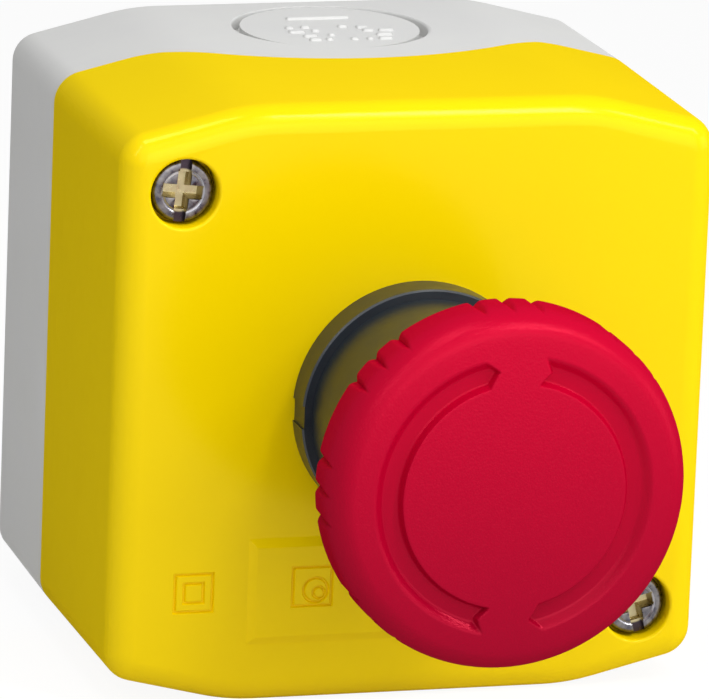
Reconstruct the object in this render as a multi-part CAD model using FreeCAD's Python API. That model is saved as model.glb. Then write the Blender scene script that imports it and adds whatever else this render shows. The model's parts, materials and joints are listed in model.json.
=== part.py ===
import FreeCAD, Part
import math
import os
from FreeCAD import Vector

# Wall-mounted emergency stop station, in millimetres. The origin is the centre of the back face, on the wall.
# +Z is up and the front faces -Y. A depth is a distance in front of the wall, so a depth d lies at y = -d.
# near and far are the depths at which a shape starts and ends.

# Box and cover
box_width = 68.0
box_height = 68.0
box_depth = 53.0
flat_width = 39.6        # level part of the top and of the bottom
shoulder_drop = 3.5      # how far the top has fallen where it meets the side
corner_radius = 3.6
shoulder_radius = 25.0
back_draft = 0.4
side_wall = 2.6
floor_thickness = 2.5
face_thickness = 2.8
front_round = 3.0

# Parting line between box and cover: straight at the sides, bowed forward in the middle of top and bottom
split_depth = 21.5
bow_rise = 9.0
bow_radius = 35.0
bow_blend = 7.0

# Gasket cord in the rim
seal_inset = 0.8
seal_width = 1.0
seal_height = 1.0

# Four corner places: cover screws on one diagonal, wall screws on the other
corner_hole_x = 27.0
corner_hole_z = 24.7
wall_hole_radius = 2.15
wall_pad_radius = 4.6
wall_pad_height = 1.0
pillar_radius = 5.0
boss_radius = 4.7
pocket_radius = 3.875
pocket_wall = 1.3
pocket_depth = 3.6
screw_head_radius = 3.525
screw_head_height = 2.4
screw_shank_radius = 1.75
screw_grip = 13.0        # length of thread in the pillar
screw_head_bevel = 0.8
drive_slot_width = 1.3
drive_slot_depth = 0.8
drive_cross_length = 4.6
drive_cross_width = 1.6
drive_cross_depth = 1.5
pilot_spare = 1.0        # hole beyond the screw's tip

# Cable knock-outs
knockout_depth = 14.0
knockout_radius = 10.25
knockout_groove = 0.9
knockout_groove_depth = 1.7

# Label pad on the cover
pad_width = 36.9
pad_bottom = -26.9
pad_height = 12.1
pad_rise = 0.5
pad_bevel = 0.9

# Operator: bezel, barrel and head
cutout_radius = 11.15
barrel_radius = 11.0
barrel_length = 14.5
barrel_bore = 9.6
flange_radius = 14.05
flange_height = 4.0
flange_bevel = 0.2
flange_notch_width = 2.6
flange_notch_depth = 0.25
sleeve_radius = 12.95
sleeve_bore = 11.6
web_thickness = 3.0
bezel_seal_width = 2.2
bezel_seal_height = 0.8
bezel_seal_inset = 0.4
nut_radius = 14.2
nut_height = 5.0
nut_notches = 8
nut_notch_width = 3.0
nut_notch_depth = 1.2
stem_seal_width = 2.0
stem_seal_height = 1.0

head_radius = 20.0
head_projection = 38.0
head_thickness = 8.2
head_dome_radius = 250.0
head_front_round = 3.0
head_back_bevel = 0.8
head_gap = 0.5
head_sleeve_gap = 0.6    # radial, between the sleeve and the head's skirt
arrow_inner_radius = 12.3
arrow_outer_radius = 15.6
arrow_depth = 1.3
arrow_tail_angle = 10.0
arrow_notch_angle = 4.3
arrow_shoulder_angle = 165.3
arrow_point_angle = 6.2
grip_groups = 8
grip_notches = 3
grip_spacing = 9.3       # degrees between the notches of a group
grip_depth = 0.65       # of each notch, a square-cornered V

# Push, turn and latch
push_travel = 5.0
turn_angle = 45.0
stem_radius = 3.0
hub_wall = 1.3
hub_socket_depth = 4.0   # solid red thickness in front of the stem's end
snap_groove_depth = 0.5
snap_width = 2.0
snap_offset = 2.5        # from the stem's front end to the snap groove
land_radius = 5.3
land_flat = 4.4
groove_depth = 0.8
stem_foot_radius = 4.0
stem_foot_height = 2.0
cam_wall = 1.3
cam_lift = 0.8
cam_overrun = 0.8        # cam beyond the pawls' heels at each end of the travel
cam_dwell = 30.0         # degrees that the lobe stays at its top
cam_margin = 10.0        # degrees of even rise before and beyond the turn
pawl_width = 4.0
pawl_ear_width = 6.0
pawl_thickness = 0.9
pawl_tooth = 1.6
guide_length = 7.2
guide_slot_room = 0.15
retainer_thickness = 1.4
garter_wire = 0.5
return_spring_radius = 7.0
return_spring_wire = 1.2
return_spring_turn_count = 5

# Contact block
block_base = 6.5
block_width = 16.0
block_height = 42.0
block_wall = 1.4
cap_thickness = 1.2
cap_pin_radius = 1.2
cap_pin_length = 3.0
cap_pin_inset = 2.2
chamber_height = 21.2
carrier_width = 8.0
carrier_height = 6.0
carrier_head = 2.6
plunger_radius = 2.6
plunger_spare = 1.1      # of the plunger left outside when it is pushed in
window_width = 4.6
plunger_spring_pocket = 3.7
plunger_spring_radius = 1.7
plunger_spring_turn_count = 4
pressure_spring_length = 3.2
pressure_spring_radius = 1.4
pressure_spring_turn_count = 3
small_wire = 0.35
window_web = 0.8
bridge_thickness = 0.5
bridge_width = 4.2
bridge_length = 18.6
bridge_overtravel = 1.8
contact_offset = 7.5     # from the middle to each contact tip
contact_tip_radius = 1.4
contact_tip_height = 0.4
strip_thickness = 0.8
strip_width = 6.0
strip_inner_end = 5.8
strip_outer_end = 19.4
terminal_offset = 16.0
terminal_pocket = 8.4
terminal_screw_radius = 1.75
terminal_head_radius = 3.0
terminal_head_height = 2.4
terminal_screw_depth = 5.0
clamp_size = 7.2
clamp_thickness = 1.0
wire_mouth_width = 5.0
ear_length = 6.0
ear_width = 6.0
ear_thickness = 2.5
post_radius = 2.8
block_screw_radius = 1.4
block_screw_head_radius = 2.6
block_screw_head_height = 1.6
block_screw_grip = 3.3
block_screw_recess_length = 3.2
block_screw_recess_width = 0.7
rest_bar_offset = 5.0
rest_bar_width = 1.2
rest_bar_length = 28.0

# How finely the turned rounds and the spring wire are made
dome_flat_count = 2
front_round_flat_count = 4
coil_step_count = 10          # straight pieces to a turn
wire_side_count = 6

# Clearances
shaft_gap = 0.1          # radial, round a shaft that runs or slides
thread_gap = 0.05        # radial, where threads engage
seat_gap = 0.05          # between pieces that seat in each other
part_gap = 0.2           # between moving pieces
stop_gap = 0.3           # left at the end of a travel

# Depths, worked out from the wall to the crown of the head
cover_inside = box_depth - face_thickness
screw_seat = box_depth - pocket_depth
flange_front = box_depth + flange_height
barrel_end = box_depth - barrel_length
crown = box_depth + head_projection
head_back = crown - head_thickness
sleeve_top = head_back - head_gap
head_inside = sleeve_top + push_travel + stop_gap
pad_top = pad_bottom + pad_height

retainer_far = barrel_end + retainer_thickness
pawl_near = retainer_far + stop_gap
nose_far = pawl_near + pawl_tooth
guide_near = nose_far + part_gap
guide_far = guide_near + guide_length
heel_near = guide_far + stop_gap
pawl_far = heel_near + pawl_tooth
cam_near = heel_near - cam_overrun
cam_far = pawl_far + push_travel + cam_overrun
web_near = cam_far + stop_gap
web_far = web_near + web_thickness
groove_near = pawl_near + push_travel - part_gap
groove_far = nose_far + push_travel + part_gap
stem_front = crown - hub_socket_depth

chamber_near = block_base + block_wall
carrier_near = chamber_near + push_travel + stop_gap
pocket_far = carrier_near + plunger_spring_pocket
window_near = pocket_far + window_web
bridge_near = window_near + pressure_spring_length
bridge_far = bridge_near + bridge_thickness
strip_near = bridge_far + 2 * contact_tip_height
strip_far = strip_near + strip_thickness
window_far = bridge_far + bridge_overtravel
carrier_far = window_far + carrier_head
chamber_far = carrier_far + part_gap
block_front = chamber_far + block_wall
plunger_tip = block_front + push_travel + plunger_spare
stem_tip = plunger_tip + part_gap
ear_front = block_base + ear_thickness

# Radii and places across the axis
hub_bore = stem_radius + shaft_gap
hub_radius = hub_bore + hub_wall
cam_radius = hub_radius + cam_wall
cam_top = cam_radius + cam_lift * (turn_angle + cam_margin) / turn_angle
pawl_back = cam_top + shaft_gap    # the inner face of a pawl's back, measured from the axis
guide_radius = barrel_bore - seat_gap
chamber_side = block_width / 2 - block_wall
cap_side = block_width / 2 - cap_thickness
ear_middle = block_height / 2 + ear_length / 2
cover_screw_places = [(-corner_hole_x, corner_hole_z), (corner_hole_x, -corner_hole_z)]
wall_screw_places = [(corner_hole_x, corner_hole_z), (-corner_hole_x, -corner_hole_z)]


def cylinder(radius, near, far, x=0.0, z=0.0):
    return Part.makeCylinder(radius, far - near, Vector(x, -near, z), Vector(0, -1, 0))


def tube(outer, inner, near, far, x=0.0, z=0.0):
    return cylinder(outer, near, far, x, z).cut(cylinder(inner, near, far, x, z))


def block(left, right, bottom, top, near, far):
    return Part.makeBox(right - left, far - near, top - bottom, Vector(left, -far, bottom))


def bar(width, height, near, far, x=0.0, z=0.0):
    """A block with its middle at x, z."""
    return block(x - width / 2, x + width / 2, z - height / 2, z + height / 2, near, far)


def turned(profile):
    """A solid of revolution about the operator's axis from (radius, depth) corners."""
    corners = [Vector(radius, -depth, 0) for radius, depth in profile]
    face = Part.Face(Part.makePolygon(corners + corners[:1]))
    return face.revolve(Vector(), Vector(0, 1, 0), 360)


def clock_point(radius, angle, depth):
    """A point at an angle clockwise from twelve o'clock, seen from the front."""
    turn = math.radians(angle)
    return Vector(radius * math.sin(turn), -depth, radius * math.cos(turn))


def clock_turn(shape, angle):
    """The shape turned clockwise about the operator's axis, seen from the front."""
    return shape.rotated(Vector(), Vector(0, 1, 0), angle)


def rounded_wire(corners):
    """A closed wire through (point, radius) corners, with an arc at each corner that has a radius."""
    ends = []
    for index, (corner, radius) in enumerate(corners):
        back = (corners[index - 1][0] - corner).normalize()
        ahead = (corners[(index + 1) % len(corners)][0] - corner).normalize()
        half = back.getAngle(ahead) / 2
        reach = radius / math.tan(half)
        middle = corner + (back + ahead).normalize() * (radius / math.sin(half) - radius)
        ends.append((corner + back * reach, middle, corner + ahead * reach))
    edges = []
    for index, (start, middle, finish) in enumerate(ends):
        edges.append(Part.Arc(start, middle, finish).toShape())
        edges.append(Part.makeLine(finish, ends[(index + 1) % len(ends)][0]))
    return Part.Wire(edges)


def outline(inset, depth):
    """The front-view outline of the box, moved inwards by inset."""
    half_width = box_width / 2
    half_height = box_height / 2
    slope = math.atan2(shoulder_drop, half_width - flat_width / 2)
    top = half_height - inset
    side = half_width - inset
    flat = flat_width / 2 - inset * math.tan(slope / 2)
    corner = half_height - shoulder_drop - inset * math.tan(math.pi / 4 - slope / 2)
    corners = []
    for x, z, radius in [(flat, top, shoulder_radius), (side, corner, corner_radius)]:
        corners.append((x, z, max(radius - inset, 0.5)))
    right = corners + [(x, -z, radius) for x, z, radius in reversed(corners)]
    loop = right + [(-x, z, radius) for x, z, radius in reversed(right)]
    return rounded_wire([(Vector(x, -depth, z), radius) for x, z, radius in loop])


def prism(inset, near, far):
    return Part.Face(outline(inset, near)).extrude(Vector(0, near - far, 0))


def behind_parting(shift):
    """Everything behind the parting surface, moved forward by shift."""
    slope = math.acos(1 - bow_rise / (bow_radius + bow_blend))
    reach = (bow_radius + bow_blend) * math.sin(slope)
    joint_x = bow_radius * math.sin(slope)
    joint_depth = split_depth + bow_blend * (1 - math.cos(slope))
    blend_x = reach - bow_blend * math.sin(slope / 2)
    blend_depth = split_depth + bow_blend * (1 - math.cos(slope / 2))
    bow_front = split_depth + bow_rise

    def at(x, depth):
        return Vector(x, -depth - shift, -box_height)

    edge = box_width
    lines = [
        Part.makeLine(at(-edge, -box_depth), at(-edge, split_depth)),
        Part.makeLine(at(-edge, split_depth), at(-reach, split_depth)),
        Part.Arc(at(-reach, split_depth), at(-blend_x, blend_depth), at(-joint_x, joint_depth)).toShape(),
        Part.Arc(at(-joint_x, joint_depth), at(0, bow_front), at(joint_x, joint_depth)).toShape(),
        Part.Arc(at(joint_x, joint_depth), at(blend_x, blend_depth), at(reach, split_depth)).toShape(),
        Part.makeLine(at(reach, split_depth), at(edge, split_depth)),
        Part.makeLine(at(edge, split_depth), at(edge, -box_depth)),
        Part.makeLine(at(edge, -box_depth), at(-edge, -box_depth)),
    ]
    return Part.Face(Part.Wire(lines)).extrude(Vector(0, 0, 2 * box_height))


def rim_cord():
    """The ring that the gasket fills, just behind the parting surface."""
    far = split_depth + bow_rise + 1
    ring = prism(seal_inset, 0, far).cut(prism(seal_inset + seal_width, 0, far))
    return ring.common(behind_parting(0)).cut(behind_parting(-seal_height))


def knockout_ring(side):
    """Cutter for the thin ring round a knock-out; side is 1 for the top and -1 for the bottom."""
    outer = knockout_radius + knockout_groove
    base = Vector(0, -knockout_depth, side * (box_height / 2 - knockout_groove_depth))
    upward = Vector(0, 0, side)
    ring = Part.makeCylinder(outer, 2 * knockout_groove_depth, base, upward)
    return ring.cut(Part.makeCylinder(knockout_radius, 2 * knockout_groove_depth, base, upward))


def back_box():
    bow_front = split_depth + bow_rise
    drafted = Part.makeLoft([outline(back_draft, 0), outline(0, split_depth)], True, True)
    shell = drafted.fuse(prism(0, split_depth, bow_front)).common(behind_parting(0))
    shell = shell.cut(prism(side_wall, floor_thickness, bow_front + 1))
    inner_form = prism(side_wall / 2, floor_thickness / 2, split_depth)
    for x, z in cover_screw_places:
        shell = shell.fuse(cylinder(pillar_radius, floor_thickness / 2, split_depth, x, z).common(inner_form))
    for x, z in wall_screw_places:
        pad_front = floor_thickness + wall_pad_height
        shell = shell.fuse(cylinder(wall_pad_radius, floor_thickness / 2, pad_front, x, z).common(inner_form))
    for side in (-1, 1):
        shell = shell.fuse(cylinder(post_radius, floor_thickness / 2, block_base, 0, side * ear_middle))
        rest_x = side * rest_bar_offset
        shell = shell.fuse(bar(rest_bar_width, rest_bar_length, floor_thickness / 2, block_base, rest_x))
    for x, z in cover_screw_places:
        pilot = screw_shank_radius + thread_gap
        shell = shell.cut(cylinder(pilot, split_depth - screw_grip - pilot_spare, split_depth + 1, x, z))
    for x, z in wall_screw_places:
        shell = shell.cut(cylinder(wall_hole_radius, -1, floor_thickness + wall_pad_height + 1, x, z))
    for side in (-1, 1):
        pilot = block_screw_radius + thread_gap
        pilot_near = block_base - block_screw_grip - part_gap
        shell = shell.cut(cylinder(pilot, pilot_near, block_base + 1, 0, side * ear_middle))
        shell = shell.cut(knockout_ring(side))
    return shell.cut(rim_cord())


def label_pad():
    edge = pad_width / 2

    def loop(inset, depth):
        corners = [(-edge + inset, pad_bottom + inset), (edge - inset, pad_bottom + inset)]
        corners += [(edge - inset, pad_top - inset), (-edge + inset, pad_top - inset)]
        points = [Vector(x, -depth, z) for x, z in corners]
        return Part.makePolygon(points + points[:1])

    return Part.makeLoft([loop(0, box_depth), loop(pad_bevel, box_depth + pad_rise)], True, True)


def front_cover():
    body = prism(0, split_depth, box_depth)
    front_edges = [edge for edge in body.Edges if abs(edge.BoundBox.YMax + box_depth) < 0.001]
    body = body.makeFillet(front_round, front_edges)
    body = body.cut(prism(side_wall, split_depth - 1, cover_inside)).cut(behind_parting(0))
    inner_form = prism(side_wall / 2, split_depth, cover_inside + face_thickness / 2)
    for x, z in cover_screw_places:
        boss = cylinder(boss_radius, split_depth + seat_gap, cover_inside + 0.5, x, z)
        cup = cylinder(pocket_radius + pocket_wall, screw_seat - pocket_wall * 2, cover_inside + 0.5, x, z)
        body = body.fuse(boss.fuse(cup).common(inner_form))
    body = body.fuse(label_pad())
    for x, z in cover_screw_places:
        body = body.cut(cylinder(pocket_radius, screw_seat, box_depth + 1, x, z))
        body = body.cut(cylinder(screw_shank_radius + part_gap, split_depth - 1, screw_seat + 1, x, z))
    return body.cut(cylinder(cutout_radius, cover_inside - 1, box_depth + 1))


def cover_screw(x, z):
    head_front = screw_seat + screw_head_height
    screw = turned([
        (0, head_front),
        (screw_head_radius - screw_head_bevel, head_front),
        (screw_head_radius, head_front - screw_head_bevel),
        (screw_head_radius, screw_seat),
        (screw_shank_radius, screw_seat),
        (screw_shank_radius, split_depth - screw_grip),
        (0, split_depth - screw_grip),
    ])
    slot = bar(drive_slot_width, 3 * screw_head_radius, head_front - drive_slot_depth, head_front + 1)
    screw = screw.cut(slot)
    cross = (drive_cross_length, drive_cross_width)
    for width, height in [cross, cross[::-1]]:
        screw = screw.cut(bar(width, height, head_front - drive_cross_depth, head_front + 1))
    return screw.translated(Vector(x, 0, z))


def bezel():
    seal_start = barrel_radius + bezel_seal_inset
    seal_end = seal_start + bezel_seal_width
    seat_far = web_near + stem_seal_height + part_gap
    hub_clear = hub_radius + shaft_gap + seat_gap
    body = turned([
        (barrel_bore, barrel_end),
        (barrel_radius, barrel_end),
        (barrel_radius, box_depth),
        (seal_start, box_depth),
        (seal_start, box_depth + bezel_seal_height),
        (seal_end, box_depth + bezel_seal_height),
        (seal_end, box_depth),
        (flange_radius, box_depth),
        (flange_radius, flange_front - flange_bevel),
        (flange_radius - flange_bevel, flange_front),
        (sleeve_radius, flange_front),
        (sleeve_radius, sleeve_top),
        (sleeve_bore, sleeve_top),
        (sleeve_bore, web_far),
        (hub_clear, web_far),
        (hub_clear, seat_far),
        (hub_clear + stem_seal_width, seat_far),
        (hub_clear + stem_seal_width, web_near),
        (barrel_bore, web_near),
    ])
    notch_x = -flange_radius + flange_notch_depth / 2
    return body.cut(bar(flange_notch_depth, flange_notch_width, box_depth, flange_front, notch_x))


def bezel_seal():
    start = barrel_radius + bezel_seal_inset
    return tube(start + bezel_seal_width, start, box_depth, box_depth + bezel_seal_height)


def fixing_nut():
    near = cover_inside - nut_height
    nut = tube(nut_radius, barrel_radius + thread_gap, near, cover_inside)
    for index in range(nut_notches):
        cutter = bar(nut_notch_width, 2 * nut_notch_depth, near - 1, cover_inside + 1, 0, nut_radius)
        nut = nut.cut(clock_turn(cutter, index * 360 / nut_notches))
    return nut


def stem_seal():
    inner = hub_radius + shaft_gap
    return tube(inner + stem_seal_width, inner, web_near + part_gap, web_near + part_gap + stem_seal_height)


def arrow_cutter():
    """One curved arrow, from its swallow tail near twelve o'clock clockwise to its point near six."""
    floor = crown - arrow_depth
    middle_radius = (arrow_inner_radius + arrow_outer_radius) / 2
    halfway = (arrow_tail_angle + arrow_shoulder_angle) / 2

    def at(radius, angle):
        return clock_point(radius, angle, floor)

    point = at(middle_radius, arrow_shoulder_angle + arrow_point_angle)
    tail = at(middle_radius, arrow_tail_angle + arrow_notch_angle)
    outer = [at(arrow_outer_radius, angle) for angle in (arrow_tail_angle, halfway, arrow_shoulder_angle)]
    inner = [at(arrow_inner_radius, angle) for angle in (arrow_shoulder_angle, halfway, arrow_tail_angle)]
    edges = [
        Part.Arc(*outer).toShape(),
        Part.makeLine(outer[2], point),
        Part.makeLine(point, inner[0]),
        Part.Arc(*inner).toShape(),
        Part.makeLine(inner[2], tail),
        Part.makeLine(tail, outer[0]),
    ]
    return Part.Face(Part.Wire(edges)).extrude(Vector(0, -2 * arrow_depth, 0))


def cut_grip(head):
    half_diagonal = 2 * grip_depth
    side = half_diagonal * math.sqrt(2)
    square = clock_turn(bar(side, side, head_back - 1, crown + 1), 45)
    cutter = square.translated(Vector(0, 0, head_radius - grip_depth + half_diagonal))
    for group in range(grip_groups):
        for index in range(grip_notches):
            angle = group * 360 / grip_groups + (index - (grip_notches - 1) / 2) * grip_spacing
            head = head.cut(clock_turn(cutter, angle))
    return head


def rounded_edge(radius, depth, edge_round, start, finish, flats):
    """(radius, depth) corners of a turned edge whose round is centred there, as short flats.
    Its angles are from straight forward, through outward, to straight back."""
    corners = []
    for index in range(flats + 1):
        turn = math.radians(start + (finish - start) * index / flats)
        corners.append((radius + edge_round * math.sin(turn), depth + edge_round * math.cos(turn)))
    return corners


def head_blank():
    """The head before anything is cut: a flat back, a straight rim and a slightly domed crown."""
    centre_radius = head_radius - head_front_round
    spread = math.asin(centre_radius / (head_dome_radius - head_front_round))
    dome_centre = crown - head_dome_radius
    centre_depth = dome_centre + (head_dome_radius - head_front_round) * math.cos(spread)
    dome_edge = math.degrees(spread)
    dome = rounded_edge(0, dome_centre, head_dome_radius, 0, dome_edge, dome_flat_count)
    front = rounded_edge(centre_radius, centre_depth, head_front_round, dome_edge, 90, front_round_flat_count)
    back_bevel = [(head_radius, head_back + head_back_bevel), (head_radius - head_back_bevel, head_back)]
    return turned(dome[:-1] + front + back_bevel + [(0, head_back)])


def mushroom_head():
    head = cut_grip(head_blank())
    for angle in (0, 180):
        head = head.cut(clock_turn(arrow_cutter(), angle))
    head = head.cut(cylinder(sleeve_radius + head_sleeve_gap, head_back - 1, head_inside))
    head = head.fuse(cylinder(hub_radius, cam_near, head_inside))
    head = head.cut(cylinder(hub_bore, cam_near - 1, stem_front + part_gap))
    bead_near = stem_front - snap_offset - snap_width + part_gap
    bead = tube(hub_bore, hub_bore - snap_groove_depth, bead_near, bead_near + snap_width - 2 * part_gap)
    return head.fuse(bead).removeSplitter()


def stem():
    groove_radius = land_radius - groove_depth
    snap_radius = stem_radius - snap_groove_depth
    snap_far = stem_front - snap_offset
    foot_far = stem_tip + stem_foot_height
    land_near = barrel_end - 1
    body = turned([
        (0, stem_tip),
        (stem_foot_radius, stem_tip),
        (stem_foot_radius, foot_far),
        (stem_radius, foot_far),
        (stem_radius, land_near),
        (land_radius, land_near),
        (land_radius, groove_near),
        (groove_radius, groove_near),
        (groove_radius, groove_far),
        (land_radius, groove_far),
        (land_radius, cam_near - 2 * part_gap),
        (stem_radius, cam_near - 2 * part_gap),
        (stem_radius, snap_far - snap_width),
        (snap_radius, snap_far - snap_width),
        (snap_radius, snap_far),
        (stem_radius, snap_far),
        (stem_radius, stem_front),
        (0, stem_front),
    ])
    for side in (-1, 1):
        flat_middle = side * (land_flat + land_radius / 2)
        body = body.cut(bar(4 * land_radius, land_radius, land_near, groove_near, 0, flat_middle))
    return body


def cam_reach(angle):
    """The cam's radius at an angle from the pawl, towards the side that a clockwise turn brings under it."""
    low = cam_radius - cam_lift * cam_margin / turn_angle
    top_end = turn_angle + cam_margin + cam_dwell
    if angle <= turn_angle + cam_margin:
        return cam_radius + cam_lift * angle / turn_angle
    if angle <= top_end:
        return cam_top
    return cam_top + (low - cam_top) * (angle - top_end) / (180 - cam_margin - top_end)


def release_cam():
    """Two lobes, each an arc that rises with the turn, one that dwells and one that falls."""
    rise_end = turn_angle + cam_margin
    knots = [-cam_margin, rise_end, rise_end + cam_dwell, 180 - cam_margin]
    edges = []
    for lobe in (0, 180):
        for start, finish in zip(knots, knots[1:]):
            angles = (start, (start + finish) / 2, finish)
            points = [clock_point(cam_reach(angle), 90 - angle - lobe, cam_near) for angle in angles]
            edges.append(Part.Arc(*points).toShape())
    body = Part.Face(Part.Wire(edges)).extrude(Vector(0, cam_near - cam_far, 0))
    return body.cut(cylinder(hub_radius + seat_gap / 2, cam_near - 1, cam_far + 1))


def latch_pawl(side):
    back = pawl_back
    half = pawl_width / 2
    pawl = block(back, back + pawl_thickness, -half, half, pawl_near, pawl_far)
    ears = pawl_ear_width / 2
    pawl = pawl.fuse(block(back, back + pawl_thickness, -ears, ears, pawl_near, nose_far))
    nose = block(land_radius / 2, back, -half, half, pawl_near, nose_far)
    nose = nose.cut(cylinder(land_radius + shaft_gap, pawl_near - 1, nose_far + 1))
    heel = block(cam_radius + part_gap, back, -half, half, heel_near, pawl_far)
    pawl = pawl.fuse(nose).fuse(heel)
    return pawl if side > 0 else clock_turn(pawl, 180)


def pawl_guide():
    room = pawl_back + pawl_thickness + cam_lift + guide_slot_room
    ring = tube(guide_radius, pawl_back, guide_near, guide_far)
    slot = bar(2 * room, pawl_width + 2 * shaft_gap, guide_near - 1, guide_far + 1)
    return ring.cut(slot)


def pawl_spring():
    corner = math.hypot(pawl_back + pawl_thickness, pawl_width / 2)
    middle = corner + garter_wire / 2 + seat_gap
    depth = (heel_near + pawl_far) / 2
    half = garter_wire / 2
    inner_corner, outer_corner = (middle - half, depth), (middle + half, depth)
    return turned([inner_corner, (middle, depth - half), outer_corner, (middle, depth + half)])


def retainer_ring():
    ring = cylinder(guide_radius, barrel_end, retainer_far)
    bore = cylinder(land_radius + shaft_gap, barrel_end - 1, retainer_far + 1)
    flats = bar(4 * land_radius, 2 * (land_flat + shaft_gap), barrel_end - 1, retainer_far + 1)
    return ring.cut(bore.common(flats))


def wire_section(radius, wire, depth, angle):
    """A spring wire's six-sided section, at an angle round the operator's axis."""
    corners = []
    for index in range(wire_side_count + 1):
        turn = math.radians(index * 360 / wire_side_count)
        outward, forward = wire / 2 * math.sin(turn), wire / 2 * math.cos(turn)
        corners.append(clock_point(radius + outward, angle, depth + forward))
    return Part.makePolygon(corners)


def coil(radius, wire, turns, near, far):
    """A coil spring whose ends lie at near and far."""
    steps = turns * coil_step_count
    start = near + wire / 2
    rise = (far - near - wire) / steps
    sections = []
    for step in range(steps + 1):
        sections.append(wire_section(radius, wire, start + rise * step, step * 360 / coil_step_count))
    return Part.makeLoft(sections, True, True)


def contact_housing():
    half = block_height / 2
    body = block(-block_width / 2, cap_side, -half, half, block_base, block_front)
    body = body.cut(block(-chamber_side, cap_side + 1, -chamber_height / 2, chamber_height / 2,
                          chamber_near, chamber_far))
    body = body.cut(cylinder(plunger_radius + shaft_gap, chamber_far - 1, block_front + 1))
    for side in (-1, 1):
        ear = bar(ear_width, ear_length, block_base, ear_front, 0, side * ear_middle)
        hole = cylinder(block_screw_radius + part_gap, block_base - 1, ear_front + 1, 0, side * ear_middle)
        body = body.fuse(ear).cut(hole)
        place = side * terminal_offset
        body = body.cut(bar(terminal_pocket, terminal_pocket, strip_near, block_front + 1, 0, place))
        body = body.cut(cylinder(terminal_screw_radius + part_gap, strip_near - terminal_screw_depth - 1,
                                 strip_near + 1, 0, place))
        mouth = bar(wire_mouth_width, 2 * block_wall, strip_far, block_front + 1, 0, side * half)
        slot = bar(strip_width + 2 * seat_gap, 2 * (terminal_offset - chamber_height / 2 + block_wall),
                   strip_near - seat_gap, strip_far + seat_gap, 0, side * chamber_height / 2)
        body = body.cut(mouth).cut(slot.cut(bar(block_width, chamber_height, 0, box_depth)))
        pin_hole = cap_pin(side, cap_pin_radius + seat_gap, cap_pin_length + part_gap)
        body = body.cut(pin_hole)
    return body


def cap_pin(side, radius, length):
    depth = block_base + (terminal_offset - chamber_height / 2)
    base = Vector(cap_side, -depth, side * (block_height / 2 - cap_pin_inset))
    return Part.makeCylinder(radius, length, base, Vector(-1, 0, 0))


def contact_cap():
    half = block_height / 2
    cap = block(cap_side, block_width / 2, -half, half, block_base, block_front)
    for side in (-1, 1):
        cap = cap.fuse(cap_pin(side, cap_pin_radius, cap_pin_length))
    return cap


def contact_plunger():
    carrier = bar(carrier_width, carrier_height, carrier_near, carrier_far)
    carrier = carrier.fuse(cylinder(plunger_radius, carrier_far, plunger_tip))
    carrier = carrier.cut(bar(window_width, 2 * carrier_height, window_near, window_far))
    pocket_radius_inside = plunger_spring_radius + small_wire / 2 + part_gap
    return carrier.cut(cylinder(pocket_radius_inside, carrier_near - 1, pocket_far))


def plunger_spring():
    return coil(plunger_spring_radius, small_wire, plunger_spring_turn_count,
                chamber_near + seat_gap, pocket_far - seat_gap)


def bridge_spring():
    return coil(pressure_spring_radius, small_wire, pressure_spring_turn_count,
                window_near + seat_gap, bridge_near - seat_gap)


def bridge_contact():
    bridge = bar(bridge_width, bridge_length, bridge_near, bridge_far)
    for side in (-1, 1):
        tip_far = bridge_far + contact_tip_height
        bridge = bridge.fuse(cylinder(contact_tip_radius, bridge_far, tip_far, 0, side * contact_offset))
    return bridge


def fixed_contact(side):
    ends = sorted((side * strip_inner_end, side * strip_outer_end))
    strip = block(-strip_width / 2, strip_width / 2, ends[0], ends[1], strip_near, strip_far)
    tip = cylinder(contact_tip_radius, strip_near - contact_tip_height, strip_near, 0, side * contact_offset)
    hole_radius = terminal_screw_radius + thread_gap
    hole = cylinder(hole_radius, strip_near - 1, strip_far + 1, 0, side * terminal_offset)
    return strip.fuse(tip).cut(hole)


def terminal_screw(side):
    clamp_front = strip_far + clamp_thickness
    head_front = clamp_front + terminal_head_height
    screw = cylinder(terminal_head_radius, clamp_front, head_front)
    screw = screw.fuse(cylinder(terminal_screw_radius, strip_near - terminal_screw_depth, clamp_front))
    slot = bar(3 * terminal_head_radius, terminal_head_radius / 4, head_front - terminal_head_height / 2,
               head_front + 1)
    return screw.cut(slot).translated(Vector(0, 0, side * terminal_offset))


def terminal_clamp(side):
    place = side * terminal_offset
    clamp = bar(clamp_size, clamp_size, strip_far, strip_far + clamp_thickness, 0, place)
    return clamp.cut(cylinder(terminal_screw_radius + part_gap, strip_far - 1, strip_far + 2, 0, place))


def block_screw(side):
    head_front = ear_front + block_screw_head_height
    screw = cylinder(block_screw_head_radius, ear_front, head_front)
    screw = screw.fuse(cylinder(block_screw_radius, block_base - block_screw_grip, ear_front))
    recess = (block_screw_recess_length, block_screw_recess_width)
    for width, height in [recess, recess[::-1]]:
        screw = screw.cut(bar(width, height, head_front - block_screw_head_height / 2, head_front + 1))
    return screw.translated(Vector(0, 0, side * ear_middle))


def both(maker):
    return Part.makeCompound([maker(1), maker(-1)])


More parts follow.
